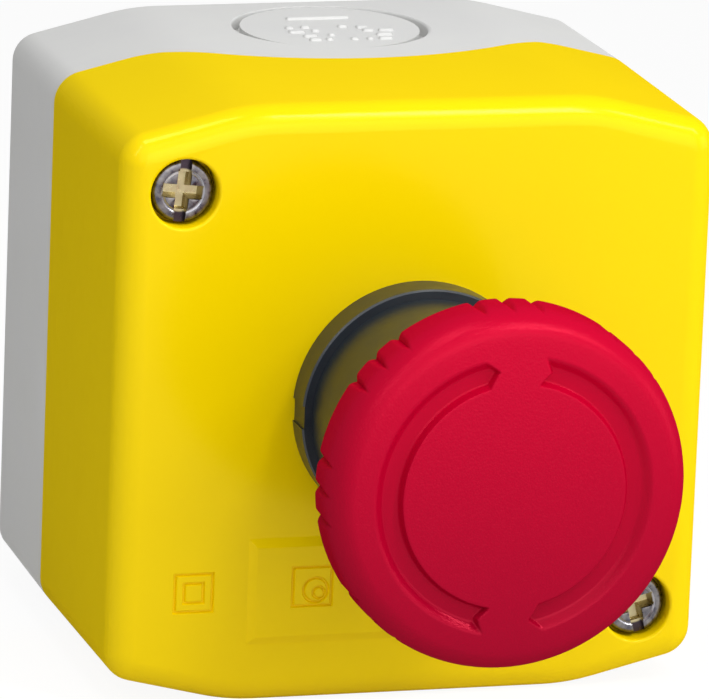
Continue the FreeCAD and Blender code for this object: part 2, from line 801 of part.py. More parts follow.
pieces = {
    "back_box": back_box(),
    "front_cover": front_cover(),
    "cover_seal": rim_cord(),
    "cover_screws": Part.makeCompound([cover_screw(x, z) for x, z in cover_screw_places]),
    "bezel": bezel(),
    "bezel_seal": bezel_seal(),
    "fixing_nut": fixing_nut(),
    "stem_seal": stem_seal(),
    "mushroom_head": mushroom_head(),
    "stem": stem(),
    "release_cam": release_cam(),
    "return_spring": coil(return_spring_radius, return_spring_wire, return_spring_turn_count,
                          web_far + seat_gap, head_inside - seat_gap),
    "latch_pawl_right": latch_pawl(1),
    "latch_pawl_left": latch_pawl(-1),
    "pawl_guide": pawl_guide(),
    "pawl_spring": pawl_spring(),
    "retainer_ring": retainer_ring(),
    "contact_housing": contact_housing(),
    "contact_cap": contact_cap(),
    "contact_plunger": contact_plunger(),
    "plunger_spring": plunger_spring(),
    "bridge_spring": bridge_spring(),
    "bridge_contact": bridge_contact(),
    "fixed_contact_upper": fixed_contact(1),
    "fixed_contact_lower": fixed_contact(-1),
    "terminal_screws": both(terminal_screw),
    "terminal_clamps": both(terminal_clamp),
    "block_screws": both(block_screw),
}

os.makedirs("parts", exist_ok=True)
for name, shape in pieces.items():
    shape.exportStep("parts/" + name + ".step")
    print(name, len(shape.Solids), "solid(s), valid", shape.isValid(), "volume", round(shape.Volume, 1))
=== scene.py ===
import bpy
import bmesh
import json
import math
from contextlib import contextmanager
from functools import partial
from mathutils import Matrix, Vector


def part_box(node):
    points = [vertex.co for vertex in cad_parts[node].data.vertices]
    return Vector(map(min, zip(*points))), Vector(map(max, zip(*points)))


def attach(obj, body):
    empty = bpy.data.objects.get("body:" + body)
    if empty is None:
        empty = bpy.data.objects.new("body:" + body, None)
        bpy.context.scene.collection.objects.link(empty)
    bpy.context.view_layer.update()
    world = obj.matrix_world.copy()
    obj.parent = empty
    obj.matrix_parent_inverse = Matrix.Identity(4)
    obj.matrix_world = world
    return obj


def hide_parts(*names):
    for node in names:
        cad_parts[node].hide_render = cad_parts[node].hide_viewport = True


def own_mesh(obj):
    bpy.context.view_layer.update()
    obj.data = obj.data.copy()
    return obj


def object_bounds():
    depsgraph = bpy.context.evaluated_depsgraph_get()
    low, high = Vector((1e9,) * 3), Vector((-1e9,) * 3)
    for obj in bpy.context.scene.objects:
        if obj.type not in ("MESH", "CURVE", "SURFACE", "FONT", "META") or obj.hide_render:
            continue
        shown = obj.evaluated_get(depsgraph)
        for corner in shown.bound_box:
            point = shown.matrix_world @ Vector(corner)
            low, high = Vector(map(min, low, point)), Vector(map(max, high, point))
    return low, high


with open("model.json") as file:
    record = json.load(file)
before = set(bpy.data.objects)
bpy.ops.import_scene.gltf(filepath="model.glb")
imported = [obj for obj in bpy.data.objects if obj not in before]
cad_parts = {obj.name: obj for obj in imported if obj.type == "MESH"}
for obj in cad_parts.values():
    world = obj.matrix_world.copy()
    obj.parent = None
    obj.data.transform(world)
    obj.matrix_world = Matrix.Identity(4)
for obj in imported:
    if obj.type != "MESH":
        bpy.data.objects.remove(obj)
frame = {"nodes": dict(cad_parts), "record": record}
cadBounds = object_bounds()
scene = bpy.context.scene
mm = 0.001
quarter = math.pi / 2


# sRGB hex to the linear colour that a shader socket takes
def colour(code):
    parts = [int(code[i:i + 2], 16) / 255 for i in (1, 3, 5)]
    return [p / 12.92 if p <= 0.04045 else ((p + 0.055) / 1.055) ** 2.4 for p in parts] + [1.0]


# node helpers

# Adds a node, sets its properties and fills its inputs with values, sockets or nodes' first outputs
def addNode(tree, kind, inputs=None, **settings):
    node = tree.nodes.new(kind)
    for name, value in settings.items():
        setattr(node, name, value)
    for key, value in (inputs or {}).items():
        if isinstance(value, bpy.types.Node):
            value = value.outputs[0]
        if isinstance(value, bpy.types.NodeSocket):
            tree.links.new(value, node.inputs[key])
        else:
            node.inputs[key].default_value = value
    return node


def calculate(tree, operation, *values):
    return addNode(tree, "ShaderNodeMath", dict(enumerate(values)), operation=operation)


# Moves a value from one range to another
def ranged(tree, value, source=(0.0, 1.0), target=(0.0, 1.0), **settings):
    return addNode(tree, "ShaderNodeMapRange", {
        "Value": value, "From Min": source[0], "From Max": source[1],
        "To Min": target[0], "To Max": target[1]}, **settings)


# A colour between two, each a hex code or a socket; a colour Mix node has them on inputs 6 and 7 and output 2
def blend(tree, share, low, high):
    low, high = (colour(end) if isinstance(end, str) else end for end in (low, high))
    return addNode(tree, "ShaderNodeMix", {0: share, 6: low, 7: high}, data_type="RGBA").outputs[2]


def objectPlace(tree):
    return addNode(tree, "ShaderNodeTexCoord").outputs["Object"]


# Texture scale for a pattern whose repeat is this many millimetres
def patternScale(size):
    return 1 / (size * mm)


def noise(tree, where, size, detail=2.0, roughness=0.5):
    return addNode(tree, "ShaderNodeTexNoise", {
        "Vector": where, "Scale": patternScale(size), "Detail": detail, "Roughness": roughness})


# finishes

# The node tree of a material or a world, emptied
def emptyTree(owner):
    owner.use_nodes = True
    owner.node_tree.nodes.clear()
    return owner.node_tree


def newMaterial(name, base, roughness, metallic=0.0, specular=0.5):
    material = bpy.data.materials.new(name)
    tree = emptyTree(material)
    shader = addNode(tree, "ShaderNodeBsdfPrincipled", {
        "Base Color": colour(base), "Roughness": roughness,
        "Metallic": metallic, "Specular IOR Level": specular})
    addNode(tree, "ShaderNodeOutputMaterial", {"Surface": shader})
    return material, tree, shader


cloudRange = (0.3, 0.7)     # most of a noise texture lies between these


# A cloud of this size in millimetres that moves the colour between two shades, and the roughness between
# two values
def mottle(tree, shader, where, size, shades, roughness):
    cloud = noise(tree, where, size, 3.0)
    tint = blend(tree, ranged(tree, cloud, cloudRange), *shades)
    sheen = ranged(tree, cloud, cloudRange, roughness)
    tree.links.new(tint, shader.inputs["Base Color"])
    tree.links.new(sheen.outputs[0], shader.inputs["Roughness"])


# Relief of this many millimetres from a height between 0 and 1
def bumpOf(tree, height, depth, strength):
    return addNode(tree, "ShaderNodeBump", {
        "Height": height, "Distance": depth * mm, "Strength": strength})


def relief(tree, shader, height, depth, strength):
    bump = bumpOf(tree, height, depth, strength)
    tree.links.new(bump.outputs[0], shader.inputs["Normal"])
    return bump


# A clear skin whose gloss takes this tint, as a strong pigment close under it does
def glossySkin(tree, shader, tint, share, roughness, bump):
    gloss = addNode(tree, "ShaderNodeBsdfGlossy", {
        "Color": colour(tint), "Roughness": roughness, "Normal": bump})
    skin = addNode(tree, "ShaderNodeMixShader", {0: share, 1: shader, 2: gloss})
    tree.links.new(skin.outputs[0], tree.nodes["Material Output"].inputs["Surface"])


# ABS moulded in a polished tool: deep yellow and glossy, with a faint orange peel 0.8 mm across. The drawn
# side walls are duller and keep an upright grain from the tool, 0.7 mm wide, coarser than the real one
def makeYellowAbs():
    material, tree, shader = newMaterial("yellowAbsMoulded", "#fcda00", 0.2, specular=0.0)
    coordinates = addNode(tree, "ShaderNodeTexCoord").outputs
    where = coordinates["Object"]
    tint = blend(tree, noise(tree, where, 14, 3.0), "#fbd800", "#fddc00")
    tree.links.new(tint, shader.inputs["Base Color"])
    facing = addNode(tree, "ShaderNodeSeparateXYZ", {0: coordinates["Normal"]})
    sideways = calculate(tree, "ABSOLUTE", facing.outputs["X"])
    onSide = ranged(tree, sideways, (0.8, 0.98))
    peel = noise(tree, where, 0.8)
    stretched = addNode(tree, "ShaderNodeMapping", {"Vector": where, "Scale": (1.0, 1.0, 0.12)})
    streak = noise(tree, stretched, 0.7, 4.0, 0.75)
    height = addNode(tree, "ShaderNodeMix", {0: onSide, 2: peel, 3: streak}, data_type="FLOAT")
    bump = relief(tree, shader, height, 0.15, ranged(tree, onSide, target=(0.07, 1.0)))
    glossySkin(tree, shader, "#ffe680", 0.04, ranged(tree, onSide, target=(0.17, 0.42)), bump)
    return material


# ABS moulded in a spark-eroded tool: pale grey and matt, with an even grain of 0.35 mm, coarser than the
# real one
def makeGreyAbs():
    material, tree, shader = newMaterial("greyAbsTextured", "#d9d9d8", 0.5, specular=0.3)
    where = objectPlace(tree)
    mottle(tree, shader, where, 9, ("#d7d7d6", "#dcdcda"), (0.45, 0.55))
    relief(tree, shader, noise(tree, where, 0.35, 3.0), 0.05, 0.25)
    return material


# Polyamide coloured through: a deep signal red, with painted light from top to bottom: lighter towards the
# top and darker towards the bottom.
# Its satin grain sparkles where light glances off it; at 0.24 mm it is coarser than the real one, so that it
# shows. The sunk arrows come from a polished insert and stay smooth
red = {
    "paintedLightReach": 19.0,      # millimetres above and below the middle over which the painted light goes from dark to light
    "paintedLightDrift": 0.12,      # how far a soft cloud moves the painted light
    "grain": 0.24, "grainDepth": 0.012, "sparkleDepth": 0.06,
}


def makeRedPolyamide():
    material, tree, shader = newMaterial("redPolyamideSatin", "#b8082b", 0.42, specular=0.0)
    where = objectPlace(tree)
    upright = addNode(tree, "ShaderNodeSeparateXYZ", {0: where}).outputs["Z"]
    height = ranged(tree, upright, (-red["paintedLightReach"] * mm, red["paintedLightReach"] * mm))
    paintedTopLight = calculate(tree, "MULTIPLY_ADD", noise(tree, where, 7, 3.0), red["paintedLightDrift"], height)
    # painted light: a darker red at the bottom, a lighter red at the top
    tree.links.new(blend(tree, paintedTopLight, "#940425", "#c0022c"), shader.inputs["Base Color"])
    grain = noise(tree, where, red["grain"])
    sunk = addNode(tree, "ShaderNodeAttribute", attribute_name="sunk").outputs["Fac"]
    rough = ranged(tree, sunk, target=(1.0, 0.05))
    relief(tree, shader, grain, red["grainDepth"], rough)
    sparkle = bumpOf(tree, grain, red["sparkleDepth"], rough)
    glossySkin(tree, shader, "#ff5068", 0.05, ranged(tree, sunk, target=(0.15, 0.08)), sparkle)
    return material


# Glass-filled polyamide: near black with a cold cast, satin, finely pitted
def makeDarkPolyamide():
    material, tree, shader = newMaterial("darkPolyamideMoulded", "#1b2229", 0.34)
    where = objectPlace(tree)
    mottle(tree, shader, where, 3, ("#181f27", "#1f262c"), (0.3, 0.4))
    relief(tree, shader, noise(tree, where, 0.25), 0.03, 0.25)
    return material


# Natural nylon: milky, slightly see-through at its edges, self-lubricating and satin
def makeNaturalNylon():
    material, tree, shader = newMaterial("naturalNylonMoulded", "#e4dfd0", 0.4)
    shader.inputs["Subsurface Weight"].default_value = 0.15
    shader.inputs["Subsurface Scale"].default_value = 1.0 * mm
    mottle(tree, shader, objectPlace(tree), 4, ("#e0dac8", "#e8e4d8"), (0.35, 0.45))
    return material


# Nitrile rubber: black, dull, with a bloom of fine dust
def makeRubber():
    material, tree, shader = newMaterial("nitrileRubberMoulded", "#1c1c1b", 0.75)
    where = objectPlace(tree)
    mottle(tree, shader, where, 1.5, ("#191918", "#242322"), (0.68, 0.82))
    relief(tree, shader, noise(tree, where, 0.2), 0.04, 0.3)
    return material


# Zinc-plated and passivated steel: bright, a little blue, with fine pitting and the header's faint rings,
# which repeat every 2 pi phase lengths. A wave texture's own phase runs 20 radians over each unit of length
def makeZincSteel(name, own="", shades=("#858490", "#b4b1ab")):
    phaseLength, wavePhase = 0.25, 20
    material, tree, shader = newMaterial(name, "#9c9ba2", 0.3, metallic=1.0)
    if own:
        where = addNode(tree, "ShaderNodeAttribute", attribute_name=own).outputs["Vector"]
    else:
        where = objectPlace(tree)
    mottle(tree, shader, where, 0.8, shades, (0.22, 0.4))
    rings = addNode(tree, "ShaderNodeTexWave", {
        "Vector": where, "Scale": patternScale(phaseLength) / wavePhase, "Distortion": 2.0},
        wave_type="RINGS", rings_direction="Y")
    height = calculate(tree, "MULTIPLY_ADD", noise(tree, where, 0.35, 5.0), 0.8, rings)
    relief(tree, shader, height, 0.02, 0.5)
    return material


# The same plating on a screw head, with painted light: darker all over as painted shade, a painted highlight
# on the pressed ring, painted light in the punched cross and painted shade in the slot's ends. Lengths are in
# millimetres on the screw itself
screwTones = {
    "ringMiddle": 2.3, "ringHalf": 0.17,
    "recessFrom": 2.3, "recessTo": 2.0,     # height above the seat over which the recess's painted light and shade come in
    "dirtFrom": 2.3, "slotShadeTo": 2.5,         # distance from the middle over which the painted shade of the slot's ends comes in
}


def makeScrewZinc():
    # darker shades than the stamped plating: painted shade over the whole head
    material = makeZincSteel("zincSteelScrewHead", "ownPlace", ("#4f4d58", "#8a8684"))
    tones = {name: size * mm for name, size in screwTones.items()}
    tree = material.node_tree
    shader = tree.nodes["Principled BSDF"]
    own = addNode(tree, "ShaderNodeAttribute", attribute_name="ownPlace").outputs["Vector"]
    depth = addNode(tree, "ShaderNodeSeparateXYZ", {0: own}).outputs["Y"]
    sunk = ranged(tree, depth, (-tones["recessFrom"], -tones["recessTo"]))
    across = addNode(tree, "ShaderNodeVectorMath", {0: own, 1: (1.0, 0.0, 1.0)}, operation="MULTIPLY")
    reach = addNode(tree, "ShaderNodeVectorMath", {0: across}, operation="LENGTH").outputs["Value"]
    inSlotShade = ranged(tree, reach, (tones["dirtFrom"], tones["slotShadeTo"]))
    # a painted highlight on the pressed ring
    ringHighlightShare = calculate(tree, "COMPARE", reach, tones["ringMiddle"], tones["ringHalf"])
    plain = shader.inputs["Base Color"].links[0].from_socket
    withRingHighlight = blend(tree, ringHighlightShare, plain, "#a3a2aa")
    # painted light in the punched cross, painted shade in the slot's ends
    crossLightAndSlotShade = blend(tree, inSlotShade, "#b8ac86", "#443a42")
    tree.links.new(blend(tree, sunk, withRingHighlight, crossLightAndSlotShade), shader.inputs["Base Color"])
    return material


# Hard-drawn spring wire: grey steel with a dull polish
def makeSpringSteel():
    material, tree, shader = newMaterial("springSteelDrawn", "#8d8e90", 0.3, metallic=1.0)
    mottle(tree, shader, objectPlace(tree), 0.8, ("#7f8083", "#9c9c9b"), (0.24, 0.38))
    return material


# Copper alloy strip, stamped: warm, slightly tarnished, with upright rolling lines
def makeCopperAlloy():
    material, tree, shader = newMaterial("copperAlloyStamped", "#c98a5a", 0.3, metallic=1.0)
    where = objectPlace(tree)
    mottle(tree, shader, where, 2, ("#b67a4c", "#d49a6c"), (0.24, 0.4))
    lines = addNode(tree, "ShaderNodeMapping", {"Vector": where, "Scale": (1.0, 1.0, 0.05)})
    relief(tree, shader, noise(tree, lines, 0.3), 0.01, 0.3)
    return material


yellowAbs = makeYellowAbs()
greyAbs = makeGreyAbs()
redPolyamide = makeRedPolyamide()
screwZinc = makeScrewZinc()
springSteel = makeSpringSteel()

finishes = {
    "grey_plastic": greyAbs, "yellow_plastic": yellowAbs, "red_plastic": redPolyamide,
    "dark_plastic": makeDarkPolyamide(), "natural_plastic": makeNaturalNylon(), "rubber": makeRubber(),
    "plated_steel": makeZincSteel("zincSteelStamped"), "spring_steel": springSteel,
    "copper": makeCopperAlloy(),
}
for subpart in frame["record"]["subparts"]:
    node = frame["nodes"][subpart["node"]]
    node.data.materials.clear()
    node.data.materials.append(finishes[subpart["material_slot"]])
print("finishes are on the", len(frame["nodes"]), "frame nodes")


# shaping helpers

def meshFrom(name, shape):
    bmesh.ops.recalc_face_normals(shape, faces=shape.faces)
    mesh = bpy.data.meshes.new(name)
    shape.to_mesh(mesh)
    shape.free()
    return mesh


def newObject(name, data):
    thing = bpy.data.objects.new(name, data)
    scene.collection.objects.link(thing)
    return thing


# The object's mesh, opened for editing and written back afterwards
@contextmanager
def openMesh(thing):
    shape = bmesh.new()
    shape.from_mesh(thing.data)
    yield shape
    shape.to_mesh(thing.data)
    shape.free()


# Corners as (radius, depth) along an arc; its angles run from straight forward, through outward, to back
def arc(radius, depth, outward, forward, start, finish, steps=5):
    turns = [start + (finish - start) * i / steps for i in range(steps + 1)]
    return [(radius + outward * math.sin(turn), depth + forward * math.cos(turn)) for turn in turns]


# A mesh turned about the Y axis from (radius, depth) corners in millimetres; depth runs along -Y
def turnedMesh(name, corners, steps):
    shape = bmesh.new()
    rings = []
    for radius, depth in corners:
        ring = []
        for step in range(1 if radius == 0 else steps):
            turn = 2 * math.pi * step / steps
            x, z = radius * math.sin(turn), radius * math.cos(turn)
            ring.append(shape.verts.new((x * mm, -depth * mm, z * mm)))
        rings.append(ring)
    for low, high in zip(rings, rings[1:]):
        for step in range(steps):
            after = (step + 1) % steps
            face = [low[step % len(low)], low[after % len(low)],
                    high[after % len(high)], high[step % len(high)]]
            face = list(dict.fromkeys(face))    # a point on the axis counts once
            if len(face) > 2:
                shape.faces.new(face)
    bmesh.ops.remove_doubles(shape, verts=shape.verts, dist=0.0001 * mm)
    return meshFrom(name, shape)


squareCorners = ((-1, -1), (1, -1), (1, 1), (-1, 1))


# A square or oblong ring of points round (x, z), at this depth; sizes in millimetres
def squareLoop(shape, x, z, halfWidth, halfHeight, depth):
    return [shape.verts.new(((x + sx * halfWidth) * mm, -depth * mm, (z + sz * halfHeight) * mm))
            for sx, sz in squareCorners]


def joinLoops(shape, loop, after):
    for i in range(4):
        shape.faces.new([loop[i], loop[i - 1], after[i - 1], after[i]])


# A block on the Y axis whose sides lean out by this flare on their way forward
def flaredBlock(name, width, height, near, far, flare):
    shape = bmesh.new()
    back = squareLoop(shape, 0, 0, width / 2, height / 2, near)
    front = squareLoop(shape, 0, 0, width / 2 + flare, height / 2 + flare, far)
    shape.faces.new(back)
    shape.faces.new(front)
    joinLoops(shape, back, front)
    return newObject(name, meshFrom(name, shape))


# The object's mesh with its modifiers worked in; the modifiers are then removed
def settle(thing):
    bpy.context.view_layer.update()
    shaped = bpy.data.meshes.new_from_object(thing.evaluated_get(bpy.context.evaluated_depsgraph_get()))
    thing.modifiers.clear()
    thing.data = shaped
    return thing


def carve(thing, cutter):
    step = thing.modifiers.new("carve", "BOOLEAN")
    step.operation, step.solver, step.object = "DIFFERENCE", "EXACT", cutter
    settle(thing)
    bpy.data.objects.remove(cutter)


# Smooth shading that breaks at edges sharper than this many degrees; weighted keeps large flat faces flat
def smoothShade(thing, angle, weighted=False):
    thing.data.shade_smooth()
    thing.data.set_sharp_from_angle(angle=math.radians(angle))
    if weighted:
        step = thing.modifiers.new("flats", "WEIGHTED_NORMAL")
        step.mode, step.weight, step.keep_sharp = "FACE_AREA", 100, True
        settle(thing)


# Joins points that a cut left closer than 0.01 mm, and splits faces of many corners into triangles
def closeSeams(thing):
    nearest = 0.01 * mm
    with openMesh(thing) as shape:
        bmesh.ops.remove_doubles(shape, verts=shape.verts, dist=nearest)
        bmesh.ops.dissolve_degenerate(shape, dist=nearest, edges=shape.edges)
        bmesh.ops.triangulate(shape, faces=[face for face in shape.faces if len(face.verts) > 4])


# Rounds by this many millimetres the edges that are sharper than 25 degrees and pass the test
def roundEdges(thing, width, chosen):
    layer, sharpAngle = "bevel_weight_edge", math.radians(25)
    with openMesh(thing) as shape:
        weight = shape.edges.layers.float.get(layer) or shape.edges.layers.float.new(layer)
        for edge in shape.edges:
            sharp = len(edge.link_faces) == 2 and edge.calc_face_angle(0.0) > sharpAngle
            middle = (edge.verts[0].co + edge.verts[1].co) / (2 * mm)
            edge[weight] = 1.0 if sharp and chosen(edge, middle) else 0.0
    step = thing.modifiers.new("round", "BEVEL")
    step.limit_method, step.width, step.segments = "WEIGHT", width * mm, 3
    step.loop_slide = False     # a slide along a nearly parallel edge folds the face over
    settle(thing)
    old = thing.data.attributes.get(layer)
    if old:
        thing.data.attributes.remove(old)


# Rounds every edge sharper than this many degrees
def softenAll(thing, width, steps, angle):
    step = thing.modifiers.new("soften", "BEVEL")
    step.limit_method, step.angle_limit = "ANGLE", math.radians(angle)
    step.width, step.segments = width * mm, steps
    return settle(thing)


# A merged copy of a frame node, which is loose triangles with shading of their own
def copyOfNode(name, source):
    shape = bmesh.new()
    shape.from_mesh(frame["nodes"][source].data)
    bmesh.ops.remove_doubles(shape, verts=shape.verts, dist=0.001 * mm)
    bmesh.ops.dissolve_limit(shape, angle_limit=math.radians(0.2), verts=shape.verts, edges=shape.edges)
    mesh = bpy.data.meshes.new(name)
    shape.to_mesh(mesh)
    shape.free()
    if mesh.has_custom_normals:
        mesh.attributes.remove(mesh.attributes["custom_normal"])
    return newObject(name, mesh)


# Gives a finished piece its finish and its body, and hides the frame nodes that it stands for
def finishPiece(thing, material, slot, body, *replaced):
    thing.data.materials.clear()
    thing.data.materials.append(material)
    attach(thing, body)
    if replaced:
        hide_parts(*replaced)
    print(thing.name, "has", len(thing.data.polygons), "faces")


# A Geometry Nodes tree with named inputs; returns it with its group input's sockets
def newTree(name, inputs):
    tree = bpy.data.node_groups.new(name, "GeometryNodeTree")
    tree.interface.new_socket("Geometry", in_out="INPUT", socket_type="NodeSocketGeometry")
    tree.interface.new_socket("Geometry", in_out="OUTPUT", socket_type="NodeSocketGeometry")
    kinds = {int: "NodeSocketInt", float: "NodeSocketFloat", bpy.types.Material: "NodeSocketMaterial",
             bpy.types.Object: "NodeSocketObject"}
    for key, value in inputs.items():
        tree.interface.new_socket(key, in_out="INPUT", socket_type=kinds[type(value)])
    return tree, addNode(tree, "NodeGroupInput").outputs


# Ends a tree: the geometry is made real and takes the tree's own finish
def endTree(tree, geometry, finish):
    real = addNode(tree, "GeometryNodeRealizeInstances", {"Geometry": geometry})
    painted = addNode(tree, "GeometryNodeSetMaterial", {"Geometry": real, "Material": finish})
    addNode(tree, "NodeGroupOutput", {"Geometry": painted})
    return tree


def runTree(thing, tree, inputs):
    step = thing.modifiers.new(tree.name, "NODES")
    step.node_group = tree
    for item in tree.interface.items_tree:
        if item.in_out == "INPUT" and item.name in inputs:
            step[item.identifier] = inputs[item.name]
    return settle(thing)


# mushroom head

# the tree's inputs: lengths in millimetres, angles in degrees, softness as the reach of a smooth minimum
head = {
    "Steps": 1080,
    "Grip Groups": 8, "Grip Notches": 3, "Grip Spacing": 9.3, "Grip Flank": 1.0, "Grip Depth": 0.72,
    "Grip Fade": 0.09, "Grip Softness": 0.3,
    "Arrow Inner": 12.3, "Arrow Outer": 15.6, "Arrow Floor": 1.3,
    "Arrow Tail": 10.0, "Arrow Notch": 4.3, "Arrow Shoulder": 165.3, "Arrow Point": 6.2,
    "Outer Slope": 1.3, "Inner Slope": 0.5, "End Slope": 0.5, "Side Softness": 0.15, "Corner Softness": 0.5,
}
headForm = {
    "thickness": 8.2, "domeRadius": 250.0, "roundReach": 2.6, "roundRun": 4.2, "backBevel": 0.55,
    "skirtBore": 13.55, "skirtFloor": 3.4, "skirtBevel": 0.3,
    "hubRadius": 4.4, "hubBore": 3.1, "hubSocket": 3.8,
    # rings of points on the dome: 1 mm apart out to the arrows, fine across them, then two more
    "coarseRings": 12, "fineStep": 0.12, "fineRings": 34, "lastRings": [16.2, 16.6],
    "roundSteps": 12, "bevelSteps": 4, "arrowZone": 2.5,
}
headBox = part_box("mushroom_head")
headRadius = headBox[1].x / mm
crown = -headBox[0].y / mm
hubEnd = -headBox[1].y / mm


# The head's half section from the crown round to the end of the stem's socket, as (radius, depth)
def headSection():
    form = headForm
    dome, reach, run = form["domeRadius"], form["roundReach"], form["roundRun"]
    roundAxis = headRadius - reach
    spread = math.atan(reach / run * roundAxis / dome)      # where the dome's slope is the round's
    joint = roundAxis + reach * math.sin(spread)
    roundDepth = crown - dome + math.sqrt(dome * dome - joint * joint) - run * math.cos(spread)
    radii = [float(ring) for ring in range(form["coarseRings"])]
    radii += [form["coarseRings"] + form["fineStep"] * i for i in range(form["fineRings"])]
    radii += form["lastRings"]
    corners = [(radius, crown - dome + math.sqrt(dome * dome - radius * radius)) for radius in radii]
    corners += arc(roundAxis, roundDepth, reach, run, spread, quarter, form["roundSteps"])
    back, bevel, soft = crown - form["thickness"], form["backBevel"], form["skirtBevel"]
    corners += arc(headRadius - bevel, back + bevel, bevel, bevel, quarter, 2 * quarter, form["bevelSteps"])
    skirt, hub, bore = form["skirtBore"], form["hubRadius"], form["hubBore"]
    floor, socket = crown - form["skirtFloor"], crown - form["hubSocket"]
    corners += [(skirt + soft, back), (skirt, back + soft), (skirt, floor), (hub, floor),
                (hub, hubEnd), (bore, hubEnd), (bore, socket), (0, socket)]
    return corners


# Turns the section round and sinks the grip notches and the two arrows into it. Angles run clockwise from
# the top
def headTree(inputs):
    tree, given = newTree("headShape", inputs)
    work = partial(calculate, tree)
    section = given["Geometry"]
    count = addNode(tree, "GeometryNodeAttributeDomainSize", {"Geometry": section}).outputs["Point Count"]
    rows = work("ADD", given["Steps"], 1.0)
    grid = addNode(tree, "GeometryNodeMeshGrid", {"Vertices X": rows, "Vertices Y": count})
    index = addNode(tree, "GeometryNodeInputIndex")
    spin = work("FLOOR", work("DIVIDE", index, count))
    along = work("MODULO", index, count)
    corner = addNode(tree, "GeometryNodeSampleIndex", {
        "Geometry": section, "Value": addNode(tree, "GeometryNodeInputPosition"), "Index": along},
        data_type="FLOAT_VECTOR")
    parts = addNode(tree, "ShaderNodeSeparateXYZ", {0: corner})
    radius, depth = parts.outputs["X"], parts.outputs["Y"]
    angle = work("MULTIPLY", spin, work("DIVIDE", 360.0, given["Steps"]))

    # grip: how far round the rim the nearest notch of the nearest group is; each is a V, shallower forward
    groupAngle = work("DIVIDE", 360.0, given["Grip Groups"])
    halfGroup = work("MULTIPLY", groupAngle, 0.5)
    wrapped = work("MODULO", work("ADD", angle, halfGroup), groupAngle)
    inGroup = work("SUBTRACT", wrapped, halfGroup)
    nearest = work("ROUND", work("DIVIDE", inGroup, given["Grip Spacing"]))
    outermost = work("MULTIPLY_ADD", given["Grip Notches"], 0.5, -0.5)
    least = work("MULTIPLY", outermost, -1.0)
    chosen = addNode(tree, "ShaderNodeClamp", {"Value": nearest, "Min": least, "Max": outermost})
    away = work("SUBTRACT", inGroup, work("MULTIPLY", chosen, given["Grip Spacing"]))
    awayTurn = work("RADIANS", work("ABSOLUTE", away))
    flank = work("MULTIPLY", given["Grip Flank"], headRadius)
    forward = work("SUBTRACT", depth, crown - headForm["thickness"])
    root = work("SUBTRACT", headRadius, given["Grip Depth"])
    deepest = work("MULTIPLY_ADD", forward, given["Grip Fade"], root)
    limit = work("MULTIPLY_ADD", awayTurn, flank, deepest)
    rim = work("SMOOTH_MIN", radius, limit, given["Grip Softness"])

    # arrows: how far a point lies inside each edge of the nearer arrow, as a share of that edge's slope
    halfTurn = work("MODULO", angle, 180.0)
    midRadius = work("MULTIPLY", work("ADD", given["Arrow Inner"], given["Arrow Outer"]), 0.5)
    halfBand = work("SUBTRACT", given["Arrow Outer"], midRadius)
    offMiddle = work("ABSOLUTE", work("SUBTRACT", radius, midRadius))
    bulge = work("SUBTRACT", 1.0, work("DIVIDE", offMiddle, halfBand))
    tailEdge = work("MULTIPLY_ADD", bulge, given["Arrow Notch"], given["Arrow Tail"])
    pointEdge = work("MULTIPLY_ADD", bulge, given["Arrow Point"], given["Arrow Shoulder"])
    pastTail = work("SUBTRACT", halfTurn, tailEdge)
    toPoint = work("SUBTRACT", pointEdge, halfTurn)
    endWay = work("MULTIPLY", work("RADIANS", work("MINIMUM", pastTail, toPoint)), midRadius)
    endShare = work("DIVIDE", endWay, given["End Slope"])
    outerShare = work("DIVIDE", work("SUBTRACT", given["Arrow Outer"], radius), given["Outer Slope"])
    innerShare = work("DIVIDE", work("SUBTRACT", radius, given["Arrow Inner"]), given["Inner Slope"])
    bandShare = work("SMOOTH_MIN", outerShare, innerShare, given["Side Softness"])
    nearShare = work("SMOOTH_MIN", bandShare, endShare, given["Corner Softness"])
    slope = ranged(tree, nearShare, interpolation_type="SMOOTHSTEP")
    onFront = work("GREATER_THAN", depth, crown - headForm["arrowZone"])
    sunk = work("MULTIPLY", slope, onFront)
    drop = work("SUBTRACT", work("SUBTRACT", crown, given["Arrow Floor"]), depth)
    sunkDepth = work("MULTIPLY_ADD", sunk, drop, depth)

    turn = work("RADIANS", angle)
    x = work("MULTIPLY", work("SINE", turn), rim)
    z = work("MULTIPLY", work("COSINE", turn), rim)
    y = work("MULTIPLY", sunkDepth, -1.0)
    point = addNode(tree, "ShaderNodeCombineXYZ", {"X": x, "Y": y, "Z": z})
    metres = addNode(tree, "ShaderNodeVectorMath", {0: point, "Scale": mm}, operation="SCALE")
    turned = addNode(tree, "GeometryNodeSetPosition", {"Geometry": grid, "Position": metres})
    marked = addNode(tree, "GeometryNodeStoreNamedAttribute", {
        "Geometry": turned, "Name": "sunk", "Value": sunk}, data_type="FLOAT", domain="POINT")
    closed = addNode(tree, "GeometryNodeMergeByDistance", {"Geometry": marked, "Distance": 0.005 * mm})
    return endTree(tree, closed, given["Finish"])


# The section's corners go into the tree as loose points, in millimetres
def makeHead():
    section = bpy.data.meshes.new("redHead")
    section.from_pydata([(radius, depth, 0.0) for radius, depth in headSection()], [], [])
    thing = newObject("redHead", section)
    inputs = {**head, "Finish": redPolyamide}
    runTree(thing, headTree(inputs), inputs)
    with openMesh(thing) as shape:
        bmesh.ops.recalc_face_normals(shape, faces=shape.faces)
    smoothShade(thing, 40)
    finishPiece(thing, redPolyamide, "red_plastic", "head", "mushroom_head")


makeHead()


# front cover

